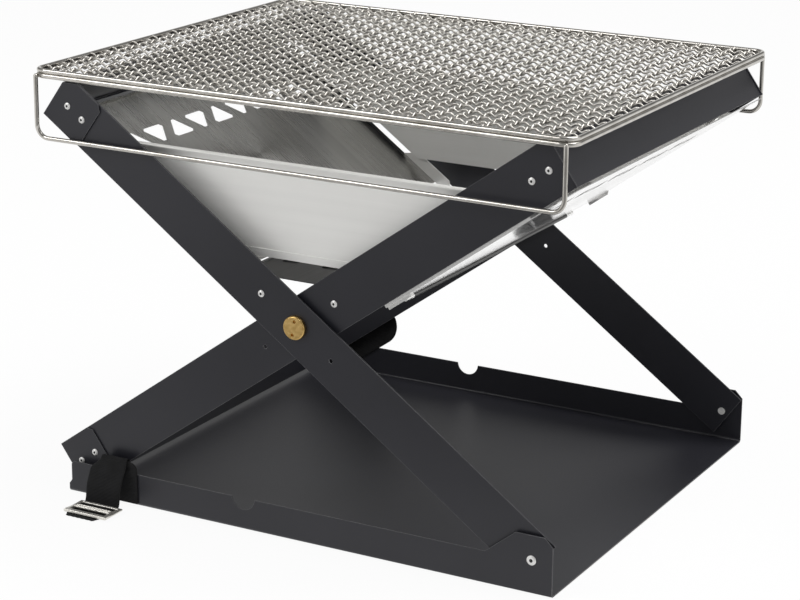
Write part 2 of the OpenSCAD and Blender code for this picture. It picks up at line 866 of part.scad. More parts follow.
// Woven mesh: straight cross wires, and long wires that pass over and under them
mesh_x = rod_x - 0.2 - border_rod / 2 - seat_gap;
mesh_y = rod_y - 0.2 - border_rod / 2 - seat_gap;
count_x = floor((mesh_x - wire) / wire_pitch_x + 0.5);
count_y = floor((mesh_y - wire) / wire_pitch_y);
module cross_wires() {
    color(stainless)
        for (i = [-count_x : count_x - 1])
            translate([grate_shift + (i + 0.5) * wire_pitch_x, -mesh_y, border_z])
                rotate([-90, 0, 0])
                    cylinder(d = wire, h = 2 * mesh_y);
}

// Upper edge of a long wire; flip is 1 or -1 and sets which crossings it passes over
crest = wire * 1.5;
function weave(flip) = concat([[-mesh_x, 0]],
    [for (i = [-count_x : count_x - 1], k = [-1, 1])
        [(i + 0.5) * wire_pitch_x + k * crest / 2, flip * wave * (i % 2 == 0 ? 1 : -1)]],
    [[mesh_x, 0]]);
module long_wires() {
    color(stainless)
        for (j = [-count_y : count_y])
            translate([grate_shift, j * wire_pitch_y, border_z])
                slab(-wire / 2, wire / 2)
                    web(weave(j % 2 == 0 ? 1 : -1), strip_t);
}

tray();
near_strap();
far_strap();
strap_buckle();
near_leg_a();
far_leg_a();
end_plate_a();
plate_rivets_a();
left_panel();
spacer_rivets_a();
leg_spacers();
hinge_rivets();
hinge_washers();
pivot_bolts();
pivot_washers();
near_leg_b();
far_leg_b();
upper_plate_b();
lower_plate_b();
plate_rivets_b();
right_panel();
panel_rivets_b();
near_panel();
near_panel_pin();
far_panel();
far_panel_pin();
bottom_plate();
bottom_plate_pins();
grate_frame();
mesh_border();
long_wires();
cross_wires();
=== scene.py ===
"""Looks of the folding fire pit: materials, woven grate, webbing strap, light and camera."""
import json
import math

import bpy
import numpy as np
from mathutils import Matrix, Vector


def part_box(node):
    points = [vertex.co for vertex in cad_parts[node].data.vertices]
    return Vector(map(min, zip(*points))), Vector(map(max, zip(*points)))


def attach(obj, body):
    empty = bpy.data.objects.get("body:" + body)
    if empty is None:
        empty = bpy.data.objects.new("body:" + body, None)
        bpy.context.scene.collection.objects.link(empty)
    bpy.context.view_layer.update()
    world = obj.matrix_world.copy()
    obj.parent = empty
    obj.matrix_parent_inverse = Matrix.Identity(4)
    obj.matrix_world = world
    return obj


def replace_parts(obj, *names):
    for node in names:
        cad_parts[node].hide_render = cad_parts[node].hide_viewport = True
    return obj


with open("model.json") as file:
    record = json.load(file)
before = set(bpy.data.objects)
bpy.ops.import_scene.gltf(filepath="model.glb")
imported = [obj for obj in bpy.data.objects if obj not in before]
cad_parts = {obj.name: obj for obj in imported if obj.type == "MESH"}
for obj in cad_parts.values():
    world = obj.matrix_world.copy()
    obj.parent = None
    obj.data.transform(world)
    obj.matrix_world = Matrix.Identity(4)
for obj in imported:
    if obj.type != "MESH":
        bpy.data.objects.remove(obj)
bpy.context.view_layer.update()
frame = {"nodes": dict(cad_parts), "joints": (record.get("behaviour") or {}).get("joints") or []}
nodes = frame["nodes"]
joints = {joint["name"]: joint for joint in frame["joints"]}
scene = bpy.context.scene
scene.view_settings.view_transform = "Standard"

# Sizes below are in mm unless a comment says otherwise, and MM turns them into metres
MM = 0.001
PIVOT_Z = joints["cross_pivot"]["pos_m"][2] / MM

# Camera, fitted to the photograph; its place is in metres
IMAGE_W, IMAGE_H = 800, 600
CAMERA_AT = Vector((1.0583, -1.9439, 0.8468))
AZIMUTH, ELEVATION, ROLL = math.radians(27.15), math.radians(16.10), math.radians(0.97)
FOCAL_PX = 2395.4
CENTRE_PX = (471.6, 262.6)
SENSOR_MM = 36.0
CLIP = (0.05, 60.0)


def make_camera():
    back = Vector((math.sin(AZIMUTH) * math.cos(ELEVATION),
                   -math.cos(AZIMUTH) * math.cos(ELEVATION), math.sin(ELEVATION)))
    right = (-back).cross(Vector((0, 0, 1))).normalized()
    up = right.cross(-back).normalized()
    turned_right = right * math.cos(ROLL) + up * math.sin(ROLL)
    turned_up = up * math.cos(ROLL) - right * math.sin(ROLL)
    data = bpy.data.cameras.new("camera")
    data.sensor_width = SENSOR_MM
    data.lens = FOCAL_PX * SENSOR_MM / IMAGE_W
    data.shift_x = (IMAGE_W / 2 - CENTRE_PX[0]) / IMAGE_W
    data.shift_y = (CENTRE_PX[1] - IMAGE_H / 2) / IMAGE_W
    data.clip_start, data.clip_end = CLIP
    camera = bpy.data.objects.new("camera", data)
    axes = Matrix((turned_right, turned_up, back)).transposed()
    camera.matrix_world = Matrix.Translation(CAMERA_AT) @ axes.to_4x4()
    scene.collection.objects.link(camera)
    scene.camera = camera


# Node helpers
NOISE_RANGE = (0.3, 0.7)


def new_material(name):
    mat = bpy.data.materials.new(name)
    mat.use_nodes = True
    tree = mat.node_tree
    tree.nodes.clear()
    out = tree.nodes.new("ShaderNodeOutputMaterial")
    shader = tree.nodes.new("ShaderNodeBsdfPrincipled")
    tree.links.new(shader.outputs[0], out.inputs[0])
    return mat, tree, shader


def dress(tree, shader, colour, rough):
    tree.links.new(colour, shader.inputs["Base Color"])
    tree.links.new(rough, shader.inputs["Roughness"])


def place(tree, scale=(1, 1, 1), uv=False):
    """Object or UV coordinates, scaled along each axis."""
    coord = tree.nodes.new("ShaderNodeTexCoord")
    mapping = tree.nodes.new("ShaderNodeMapping")
    mapping.inputs["Scale"].default_value = scale
    tree.links.new(coord.outputs["UV" if uv else "Object"], mapping.inputs["Vector"])
    return mapping.outputs["Vector"]


def noise(tree, vector, scale, detail=2.0, rough=0.5):
    node = tree.nodes.new("ShaderNodeTexNoise")
    node.inputs["Scale"].default_value = scale
    node.inputs["Detail"].default_value = detail
    node.inputs["Roughness"].default_value = rough
    tree.links.new(vector, node.inputs["Vector"])
    return node.outputs["Fac"]


def ramp(tree, fac, low, high):
    """From one colour to another over the usual range of a noise."""
    node = tree.nodes.new("ShaderNodeValToRGB")
    for element, at, colour in zip(node.color_ramp.elements, NOISE_RANGE, (low, high)):
        element.position = at
        element.color = (*colour, 1)
    tree.links.new(fac, node.inputs["Fac"])
    return node.outputs["Color"]


def spread(tree, fac, low, high):
    """From one number to another over the usual range of a noise."""
    node = tree.nodes.new("ShaderNodeMapRange")
    node.inputs["From Min"].default_value = NOISE_RANGE[0]
    node.inputs["From Max"].default_value = NOISE_RANGE[1]
    node.inputs["To Min"].default_value = low
    node.inputs["To Max"].default_value = high
    tree.links.new(fac, node.inputs["Value"])
    return node.outputs["Result"]


def soft_step(tree, value, low, high):
    """0 below low and 1 above high, with a soft change between."""
    node = tree.nodes.new("ShaderNodeMapRange")
    node.interpolation_type = "SMOOTHSTEP"
    node.inputs["From Min"].default_value = low
    node.inputs["From Max"].default_value = high
    tree.links.new(value, node.inputs["Value"])
    return node.outputs["Result"]


def bump(tree, height, shader, strength, distance):
    node = tree.nodes.new("ShaderNodeBump")
    node.inputs["Strength"].default_value = strength
    node.inputs["Distance"].default_value = distance
    tree.links.new(height, node.inputs["Height"])
    tree.links.new(node.outputs["Normal"], shader.inputs["Normal"])


def math_node(tree, operation, a, b=None):
    node = tree.nodes.new("ShaderNodeMath")
    node.operation = operation
    for socket, value in zip(node.inputs, (a, b)):
        if isinstance(value, (int, float)):
            socket.default_value = value
        elif value is not None:
            tree.links.new(value, socket)
    return node.outputs[0]


def add(tree, a, b):
    return math_node(tree, "ADD", a, b)


def multiply(tree, a, b):
    return math_node(tree, "MULTIPLY", a, b)


def edges(tree, radius, sharp):
    """0 on flat faces, 1 on edges within a radius."""
    round_off = tree.nodes.new("ShaderNodeBevel")
    round_off.samples = 4
    round_off.inputs["Radius"].default_value = radius
    geometry = tree.nodes.new("ShaderNodeNewGeometry")
    dot = tree.nodes.new("ShaderNodeVectorMath")
    dot.operation = "DOT_PRODUCT"
    tree.links.new(round_off.outputs["Normal"], dot.inputs[0])
    tree.links.new(geometry.outputs["Normal"], dot.inputs[1])
    turned = math_node(tree, "SUBTRACT", 1.0, dot.outputs["Value"])
    return math_node(tree, "MINIMUM", multiply(tree, turned, sharp), 1.0)


def blend(tree, fac, low, high):
    """One colour socket, turning into a plain colour as fac goes from 0 to 1."""
    node = tree.nodes.new("ShaderNodeMix")
    node.data_type = "RGBA"
    tree.links.new(fac, node.inputs["Factor"])
    tree.links.new(low, node.inputs[6])
    node.inputs[7].default_value = (*high, 1)
    return node.outputs[2]


# Materials; lengths in them are in metres
PAINT = ((0.0120, 0.0120, 0.0165), (0.0155, 0.0156, 0.0208))
# Paler edge colour for the powder coat, with its reach and sharpness: a painted highlight for the light
# that the sheet edges catch
EDGE_HIGHLIGHT, EDGE_HIGHLIGHT_REACH, EDGE_HIGHLIGHT_SHARP = (0.15, 0.149, 0.152), 0.0007, 8.0
LINE_SHARE, BROAD_SHARE = 0.3, 0.7
WIRE_TINT = ((0.44, 0.42, 0.385), (0.60, 0.58, 0.545))
BRASS_TINT = ((0.58, 0.37, 0.12), (0.76, 0.53, 0.22))
LATHE_RINGS = 9000.0
YARNS = 1600.0
YARN_TINT = ((0.0032, 0.0032, 0.0036), (0.0065, 0.0065, 0.0072))


def powder_coat():
    """Black powder coat with a fine grain, paler along its edges: a painted highlight for the light
    that the sheet edges catch.
    """
    mat, tree, shader = new_material("powder_coat")
    where = place(tree)
    cloud = noise(tree, where, scale=9.0, detail=3.0)
    grain = noise(tree, where, scale=1500.0)
    # Painted highlight: edges within the reach turn paler, standing in for the light they catch
    edge_highlight = edges(tree, EDGE_HIGHLIGHT_REACH, EDGE_HIGHLIGHT_SHARP)
    colour = blend(tree, edge_highlight, ramp(tree, cloud, *PAINT), EDGE_HIGHLIGHT)
    dress(tree, shader, colour, spread(tree, grain, 0.36, 0.46))
    shader.inputs["Specular IOR Level"].default_value = 0.45
    bump(tree, grain, shader, strength=0.25, distance=0.00012)
    return mat


def brushed(name, grain, tint, smooth, metal=1.0, streak=0.95):
    """Brushed stainless whose lines run along the axes in grain; less metal gives a satin scatter."""
    mat, tree, shader = new_material(name)
    fine_scale = [4.0 if axis in grain else 900.0 for axis in "xyz"]
    broad_scale = [2.0 if axis in grain else 120.0 for axis in "xyz"]
    lines = noise(tree, place(tree, fine_scale), scale=1.0, detail=3.0, rough=0.65)
    broad = noise(tree, place(tree, broad_scale), scale=1.0)
    cloud = noise(tree, place(tree), scale=14.0, detail=3.0)
    mixed = add(tree, multiply(tree, lines, LINE_SHARE), multiply(tree, broad, BROAD_SHARE))
    colour = ramp(tree, mixed, tuple(c * streak for c in tint), tint)
    rough = add(tree, spread(tree, lines, smooth - 0.03, smooth + 0.04),
                spread(tree, cloud, -0.02, 0.02))
    dress(tree, shader, colour, rough)
    shader.inputs["Metallic"].default_value = metal
    shader.inputs["Anisotropic"].default_value = 0.5
    bump(tree, lines, shader, strength=0.02, distance=0.00003)
    return mat


def drawn_wire(name, rough):
    mat, tree, shader = new_material(name)
    where = place(tree)
    cloud = noise(tree, where, scale=60.0, detail=3.0)
    fine = noise(tree, where, scale=900.0)
    dress(tree, shader, ramp(tree, cloud, *WIRE_TINT), spread(tree, fine, rough - 0.05, rough + 0.06))
    shader.inputs["Metallic"].default_value = 1.0
    bump(tree, fine, shader, strength=0.10, distance=0.00008)
    return mat


def bright_metal(name, low, high, rough, metal=1.0):
    mat, tree, shader = new_material(name)
    where = place(tree)
    cloud = noise(tree, where, scale=300.0, detail=3.0)
    fine = noise(tree, where, scale=2600.0)
    dress(tree, shader, ramp(tree, cloud, low, high), spread(tree, fine, rough - 0.05, rough + 0.06))
    shader.inputs["Metallic"].default_value = metal
    bump(tree, fine, shader, strength=0.08, distance=0.00005)
    return mat


def turned_brass():
    """Brass with the fine rings that a lathe leaves round the cross pivot."""
    mat, tree, shader = new_material("brass")
    coord = tree.nodes.new("ShaderNodeTexCoord")
    split = tree.nodes.new("ShaderNodeSeparateXYZ")
    tree.links.new(coord.outputs["Object"], split.inputs[0])
    x = split.outputs["X"]
    z = math_node(tree, "SUBTRACT", split.outputs["Z"], PIVOT_Z * MM)
    from_pivot = math_node(tree, "SQRT", add(tree, multiply(tree, x, x), multiply(tree, z, z)))
    rings = math_node(tree, "SINE", multiply(tree, from_pivot, LATHE_RINGS))
    cloud = noise(tree, coord.outputs["Object"], scale=260.0, detail=3.0)
    dress(tree, shader, ramp(tree, cloud, *BRASS_TINT), spread(tree, cloud, 0.28, 0.42))
    shader.inputs["Metallic"].default_value = 1.0
    bump(tree, rings, shader, strength=0.12, distance=0.00004)
    return mat


def webbing():
    """Black woven webbing; its ribs are in the mesh, and the yarns in the bump."""
    mat, tree, shader = new_material("webbing")
    fibre = noise(tree, place(tree, (YARNS, YARNS, 1.0), uv=True), scale=1.0)
    cloud = noise(tree, place(tree), scale=120.0)
    dress(tree, shader, ramp(tree, cloud, *YARN_TINT), spread(tree, fibre, 0.72, 0.92))
    shader.inputs["Specular IOR Level"].default_value = 0.28
    shader.inputs["Sheen Weight"].default_value = 0.05
    bump(tree, fibre, shader, strength=0.35, distance=0.0002)
    return mat


POWDER = powder_coat()
# Four copies of one brushed stainless, each tint set by how bright its panel looks: painted shade
# darkens the left panel and the bottom plate, and painted light brightens the right panel and the end
# panels
STEEL_LEFT_SHADED = brushed("stainless_left_painted_shade", "xz", (0.43, 0.426, 0.41), 0.28, streak=0.80)
STEEL_RIGHT_LIT = brushed("stainless_right_painted_light", "y", (0.93, 0.925, 0.91), 0.13, metal=0.82)
STEEL_ENDS_LIT = brushed("stainless_ends_painted_light", "x", (0.86, 0.855, 0.83), 0.46, metal=0.40)
STEEL_FLOOR_SHADED = brushed("stainless_floor_painted_shade", "y", (0.13, 0.1295, 0.128), 0.36)
WIRE = drawn_wire("grate_wire", 0.33)
ROD = drawn_wire("grate_rod", 0.17)
RIVET = bright_metal("rivet", (0.70, 0.695, 0.68), (0.84, 0.835, 0.82), 0.42, metal=0.5)
NICKEL = bright_metal("nickel", (0.66, 0.64, 0.59), (0.80, 0.78, 0.73), 0.30, metal=0.8)
BRASS = turned_brass()
WEB = webbing()
# Near-black metal for the rivet middles: painted shade for the rivets' hollow centres
RIVET_CENTRE_SHADE = bright_metal("rivet_centre_painted_shade", (0.02, 0.02, 0.02), (0.05, 0.05, 0.05), 0.5)
# Near-black sheet for the hoods under the floor's slots: painted shade where the slots show only
# darkness
SLOT_SHADE = bright_metal("slot_painted_shade", (0.05, 0.05, 0.05), (0.09, 0.088, 0.085), 0.5)

# The CAD nodes that take each material, and the width of the round edge on some
FINISH = {
    POWDER: ["tray", "near_leg_a", "far_leg_a", "near_leg_b", "far_leg_b", "end_plate_a",
             "upper_plate_b", "lower_plate_b", "leg_spacers"],
    STEEL_LEFT_SHADED: ["left_panel"],
    STEEL_RIGHT_LIT: ["right_panel"],
    STEEL_FLOOR_SHADED: ["bottom_plate"],
    STEEL_ENDS_LIT: ["near_panel", "far_panel"],
    ROD: ["grate_frame", "mesh_border"],
    WIRE: ["long_wires", "cross_wires"],
    RIVET: ["plate_rivets_a", "plate_rivets_b", "spacer_rivets_a", "panel_rivets_b",
            "hinge_rivets", "hinge_washers", "pivot_washers", "near_panel_pin",
            "far_panel_pin", "bottom_plate_pins"],
    BRASS: ["pivot_bolts"],
    NICKEL: ["strap_buckle"],
    WEB: ["near_strap", "far_strap"],
}
EDGE = {POWDER: 0.45, STEEL_LEFT_SHADED: 0.2, STEEL_RIGHT_LIT: 0.2, STEEL_ENDS_LIT: 0.2, BRASS: 0.3}
WELD = 0.01
FLAT_ANGLE, EDGE_ANGLE = math.radians(1), math.radians(40)


def round_edges(node, width):
    weld = node.modifiers.new("weld", "WELD")
    weld.merge_threshold = WELD * MM
    flat = node.modifiers.new("flat", "DECIMATE")
    flat.decimate_type = "DISSOLVE"
    flat.angle_limit = FLAT_ANGLE
    edge = node.modifiers.new("edge", "BEVEL")
    edge.width = width * MM
    edge.segments = 2
    edge.limit_method = "ANGLE"
    edge.angle_limit = EDGE_ANGLE
    edge.harden_normals = True


def finish_nodes():
    """Materials on the CAD nodes, and round edges on the sheet metal and the bolts."""
    for mat, names in FINISH.items():
        for name in names:
            node = nodes[name]
            node.data.materials.clear()
            node.data.materials.append(mat)
            if mat in EDGE:
                round_edges(node, EDGE[mat])


# Mesh helpers
def new_piece(name, points, faces, mat, body, uv=None, smooth=True):
    """A mesh from points in metres, riding on a body."""
    data = bpy.data.meshes.new(name)
    data.from_pydata([tuple(p) for p in points], [], [tuple(f) for f in faces])
    data.materials.append(mat)
    if uv is not None:
        layer = data.uv_layers.new(name="UVMap")
        corner = np.zeros(len(data.loops), np.int32)
        data.loops.foreach_get("vertex_index", corner)
        layer.data.foreach_set("uv", np.asarray(uv, np.float32)[corner].ravel())
    if smooth:
        data.shade_smooth()
    data.validate()
    piece = bpy.data.objects.new(name, data)
    scene.collection.objects.link(piece)
    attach(piece, body)
    return piece


def tube(path, side, radius, around):
    """Rings round a path that lies in one plane; side is that plane's normal."""
    path, side = np.asarray(path, float), np.asarray(side, float)
    along = np.gradient(path, axis=0)
    along /= np.linalg.norm(along, axis=1)[:, None]
    out = np.cross(along, side)
    turn = np.linspace(0, 2 * math.pi, around, endpoint=False)
    rings = (path[:, None] + radius * (np.cos(turn)[None, :, None] * side
                                       + np.sin(turn)[None, :, None] * out[:, None]))
    count = len(path)
    faces = [(i * around + k, i * around + (k + 1) % around,
              (i + 1) * around + (k + 1) % around, (i + 1) * around + k)
             for i in range(count - 1) for k in range(around)]
    faces.append(tuple(range(around - 1, -1, -1)))
    faces.append(tuple((count - 1) * around + k for k in range(around)))
    return rings.reshape(-1, 3), faces


def joined(parts):
    """Several meshes of (points, faces) as one."""
    points, faces, base = [], [], 0
    for part_points, part_faces in parts:
        points.append(part_points)
        faces += [tuple(i + base for i in face) for face in part_faces]
        base += len(part_points)
    return np.concatenate(points), faces


# Woven grate: wires with an extra crimp between crossings
GRATE_X = -6.0
PITCH_X, PITCH_Y = 17.7, 16.9
WIRES_X, WIRES_Y = 30, 25
WIRE_R, CRIMP = 1.2, 1.3
HALF_WAVES = 3
MESH_Z = 404.1
MESH_REACH_X, MESH_REACH_Y = 270.6, 219.2
WIRE_STEPS, WIRE_SIDES = 12, 8


def crimped(reach, pitch, first, sign):
    """Place and height along one wire, as far as its welded ends."""
    count = int(2 * reach / pitch * WIRE_STEPS)
    at = np.linspace(-reach, reach, count)
    height = sign * CRIMP * np.cos(HALF_WAVES * math.pi * (at - first) / pitch)
    return at, height


def weave_grate():
    xs = (np.arange(WIRES_X) - (WIRES_X - 1) / 2) * PITCH_X
    ys = (np.arange(WIRES_Y) - (WIRES_Y - 1) / 2) * PITCH_Y
    long_parts, cross_parts = [], []
    for j, y in enumerate(ys):
        at, height = crimped(MESH_REACH_X, PITCH_X, xs[0], 1 if j % 2 == 0 else -1)
        path = np.stack([GRATE_X + at, np.full_like(at, y), MESH_Z + height], 1) * MM
        long_parts.append(tube(path, (0, 1, 0), WIRE_R * MM, WIRE_SIDES))
    for i, x in enumerate(xs):
        at, height = crimped(MESH_REACH_Y, PITCH_Y, ys[0], -1 if i % 2 == 0 else 1)
        path = np.stack([np.full_like(at, GRATE_X + x), at, MESH_Z + height], 1) * MM
        cross_parts.append(tube(path, (1, 0, 0), WIRE_R * MM, WIRE_SIDES))
    for name, parts, node in (("woven_long_wires", long_parts, "long_wires"),
                              ("woven_cross_wires", cross_parts, "cross_wires")):
        points, faces = joined(parts)
        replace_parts(new_piece(name, points, faces, WIRE, "grate"), node)


# Webbing: ribbons with diagonal ribs woven into both faces
WEB_T = 1.5
RIB_PITCH, RIB_HIGH, RIB_SHAPE = 3.0, 0.26, 1.5
RIB_TURN = math.radians(35)
SELVEDGE, SELVEDGE_SHARE = 1.6, 0.55
GRID = 0.62


def smooth_path(points, step):
    """A curve through points (Catmull-Rom), sampled about every step."""
    p = np.asarray(points, float)
    p = np.concatenate([[2 * p[0] - p[1]], p, [2 * p[-1] - p[-2]]])
    out = []
    for a, b, c, d in zip(p[:-3], p[1:-2], p[2:-1], p[3:]):
        count = max(2, int(np.linalg.norm(c - b) / step))
        for t in np.arange(count) / count:
            out.append(0.5 * (2 * b + (c - a) * t + (2 * a - 5 * b + 4 * c - d) * t * t
                              + (3 * b - a - 3 * c + d) * t ** 3))
    out.append(p[-2])
    return np.array(out)


def webbing_faces(rows, cols):
    """Faces of a closed strip whose two sides are grids of rows by cols."""
    side = rows * cols
    faces = []
    for i in range(rows - 1):
        for k in range(cols - 1):
            a = i * cols + k
            faces.append((a, a + 1, a + cols + 1, a + cols))
            faces.append((side + a, side + a + cols, side + a + cols + 1, side + a + 1))
    ring = [(0, k) for k in range(cols - 1)]
    ring += [(i, cols - 1) for i in range(rows - 1)]
    ring += [(rows - 1, k) for k in range(cols - 1, 0, -1)]
    ring += [(i, 0) for i in range(rows - 1, 0, -1)]
    rim = [i * cols + k for i, k in ring]
    for a, b in zip(rim, rim[1:] + rim[:1]):
        faces.append((b, a, side + a, side + b))
    return faces


def strip(middle, normal, across, along):
    """Closed webbing round a grid of middle points; across and along are places on the cloth."""
    rows, cols = across.shape
    wave = (across * math.sin(RIB_TURN) + along * math.cos(RIB_TURN)) / RIB_PITCH
    rib = RIB_HIGH * (1 - np.abs(2 * (wave % 1) - 1) ** RIB_SHAPE)
    rim = np.minimum(across, across.max(1, keepdims=True) - across)
    selvedge = np.clip(rim / SELVEDGE, 0, 1)
    core = (WEB_T / 2 - RIB_HIGH) * (SELVEDGE_SHARE + (1 - SELVEDGE_SHARE) * np.sqrt(selvedge))
    half = core + rib * selvedge
    front = middle + normal * half[..., None]
    back = middle - normal * half[..., None]
    points = np.concatenate([front.reshape(-1, 3), back.reshape(-1, 3)]) * MM
    uv = np.stack([across, along], -1).reshape(-1, 2) * MM
    return points, webbing_faces(rows, cols), np.concatenate([uv, uv])


def ribbon(route, left_edge, right_edge, top_cut=None):
    """Webbing along a route of (y outwards, z), between the x of two edges; and its length."""
    path = smooth_path(route, GRID)
    gaps = np.linalg.norm(np.diff(path, axis=0), axis=1)
    marks = np.concatenate([[0], np.cumsum(gaps)])
    left, right = left_edge(path), right_edge(path)
    cols = int((right - left).max() / GRID) + 1
    x = left[:, None] + (right - left)[:, None] * np.linspace(0, 1, cols)
    way = np.repeat(marks[:, None], cols, 1)
    if top_cut is not None:
        cut_off = top_cut(x[0])
        way = cut_off + (way[-1] - cut_off) * (way / way[-1])
    slope_y, slope_z = np.gradient(path[:, 0]), np.gradient(path[:, 1])
    size = np.hypot(slope_y, slope_z)
    y, z, normal_y, normal_z = (np.interp(way, marks, values) for values in
                                (path[:, 0], path[:, 1], slope_z / size, -slope_y / size))
    middle = np.stack([x, -y, z], -1)
    normal = np.stack([np.zeros_like(x), normal_y, normal_z], -1)
    return strip(middle, normal, x - left[:, None], way), float(way[-1, -1])


# Near strap: up inside the flange, over its edge and down to the buckle on the ground
STRAP_LEFT, STRAP_RIGHT = -219.5, -181.5
STRAP_IN, STRAP_OUT, STRAP_TOP = 220.0, 225.5, 41.5
STRAP_LIE = 0.85
STRAP_MID, LOOP_R = 222.75, 2.75
LOOP = [(STRAP_MID - LOOP_R * math.cos(a), STRAP_TOP + LOOP_R * math.sin(a))
        for a in np.radians(np.arange(0, 181, 30))]
HANGING = [(2.5, 34.5), (6.5, 27.0), (10.5, 18.5), (12.0, 10.0), (12.8, 5.0), (14.0, 2.2)]
LYING = [(17.0, STRAP_LIE), (34.0, STRAP_LIE), (49.6, STRAP_LIE)]
NEAR_ROUTE = ([(STRAP_IN, 8.0), (STRAP_IN, 25.0)] + LOOP
              + [(STRAP_OUT + out, z) for out, z in HANGING + LYING])
DRAW_IN, DRAW_FROM, DRAW_OVER = 9.5, 31.0, 12.0
TAIL_FROM, TAIL_OVER = STRAP_OUT + 42, 7
TAIL_LEFT, TAIL_RIGHT = 4.0, 3.0

# The strap's inner layer, with one round corner at its top
HANG_Y, HANG_LEFT, HANG_RIGHT, HANG_ROUND = 223.6, -209.0, -171.0, 10.0
HANG_ROUTE = [(STRAP_MID, 42.3), (STRAP_MID, 36.0), (HANG_Y, 32.0), (HANG_Y, 17.0), (HANG_Y, 2.0)]
ROUND_SHARE = 0.999

# Far strap end, from (x, z) to (x, z) with a half circle at each end
FAR_FROM, FAR_TIP, FAR_R = np.array((-205.0, 30.0)), np.array((-164.0, 59.0)), 23.0
FAR_CUT = 0.02


def tail(path):
    """0 to 1 where the strap narrows into the buckle."""
    return np.clip((path[:, 0] - TAIL_FROM) / TAIL_OVER, 0, 1)


def strap_left(path):
    """The left edge draws in where the strap turns over the flange."""
    high = np.clip((path[:, 1] - DRAW_FROM) / DRAW_OVER, 0, 1)
    return STRAP_LEFT + DRAW_IN * high * high * (3 - 2 * high) + TAIL_LEFT * tail(path)


def strap_right(path):
    return STRAP_RIGHT - TAIL_RIGHT * tail(path)


def hang_left(path):
    return np.full(len(path), HANG_LEFT)


def hang_right(path):
    return np.full(len(path), HANG_RIGHT)


def hang_cut(x):
    """How much is off the top of the hanging layer, whose right corner is round."""
    over = np.clip((x - (HANG_RIGHT - HANG_ROUND)) / HANG_ROUND, 0, 1)
    return HANG_ROUND * (1 - np.sqrt(1 - over * over) * ROUND_SHARE)


def far_lobe():
    """The rounded end of the far strap, in a plane along the far flange."""
    run = FAR_TIP - FAR_FROM
    length = float(np.hypot(*run))
    rows = int((length + 2 * FAR_R) / GRID)
    along = np.linspace(-FAR_R + FAR_CUT, length + FAR_R - FAR_CUT, rows)
    past = np.maximum(np.maximum(-along, along - length), 0)
    half = np.sqrt(FAR_R ** 2 - past ** 2)
    share = np.linspace(-1, 1, int(2 * FAR_R / GRID))
    across = half[:, None] * share
    unit = run / length
    x = FAR_FROM[0] + unit[0] * along[:, None] - unit[1] * across
    z = FAR_FROM[1] + unit[1] * along[:, None] + unit[0] * across
    middle = np.stack([x, np.full_like(x, STRAP_IN), z], -1)
    normal = np.zeros_like(middle)
    normal[..., 1] = 1
    along = np.repeat(along[:, None], len(share), 1)
    return strip(middle, normal, across + half[:, None], along)


def web_piece(name, cloth, node):
    points, faces, uv = cloth
    piece = new_piece(name, points, faces, WEB, "tray", uv)
    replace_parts(piece, node)
    return piece


def make_straps():
    cloth, length = ribbon(NEAR_ROUTE, strap_left, strap_right)
    front = web_piece("near_strap_webbing", cloth, "near_strap")
    cloth, length = ribbon(HANG_ROUTE, hang_left, hang_right, hang_cut)
    layer = web_piece("near_strap_layer", cloth, "near_strap")
    far = web_piece("far_strap_webbing", far_lobe(), "far_strap")


# Ladder buckle: a stamped frame of cells with two slots, and a raised, ridged middle bar
BUCKLE_AT = (-197.0, -258.0)
BUCKLE_X = (-23.5, -19.5, 19.5, 23.5)
BUCKLE_Y = (-14.0, -9.6, -3.0, 3.0, 11.0, 14.0)
BUCKLE_LOW, BUCKLE_T = 2.0, 1.9
BAR_RISE, BAR_COLS, BAR_ROWS = 0.9, (1, 2), (2, 3)
FRONT_MORE, FRONT_ROWS = 0.9, (0, 1)
BUCKLE_EDGE = 0.7
SLOT_CELLS = {(1, 1), (1, 3)}
CELL_SIDES = ((0, -1), (1, 0), (0, 1), (-1, 0))
RIDGES = (-1.7, 0.0, 1.7)
RIDGE_HALF, RIDGE_R, RIDGE_END = 19.0, 0.6, 1.2
RIDGE_RISE, RIDGE_SUNK = 0.25, 0.45
RIDGE_STEPS, RIDGE_SIDES = 40, 10


def make_buckle_frame():
    points, index, faces = [], {}, []

    def corner(i, k, top):
        key = (i, k, top)
        if key not in index:
            index[key] = len(points)
            rise = BAR_RISE if i in BAR_COLS and k in BAR_ROWS else 0.0
            thick = BUCKLE_T + (FRONT_MORE if k in FRONT_ROWS else 0.0)
            points.append((BUCKLE_AT[0] + BUCKLE_X[i], BUCKLE_AT[1] + BUCKLE_Y[k],
                           BUCKLE_LOW + rise + (thick if top else 0.0)))
        return index[key]

    all_cells = {(i, k) for i in range(len(BUCKLE_X) - 1) for k in range(len(BUCKLE_Y) - 1)}
    cells = all_cells - SLOT_CELLS
    for i, k in sorted(cells):
        square = ((i, k), (i + 1, k), (i + 1, k + 1), (i, k + 1))
        faces.append([corner(a, b, True) for a, b in square])
        faces.append([corner(a, b, False) for a, b in reversed(square)])
        for step, a, b in zip(CELL_SIDES, square, square[1:] + square[:1]):
            if (i + step[0], k + step[1]) not in cells:
                faces.append([corner(*b, True), corner(*a, True), corner(*a, False), corner(*b, False)])
    piece = new_piece("buckle_frame", np.array(points) * MM, faces, NICKEL, "tray")
    edge = piece.modifiers.new("edge", "BEVEL")
    edge.width, edge.segments = BUCKLE_EDGE * MM, 3
    edge.harden_normals = True
    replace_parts(piece, "strap_buckle")


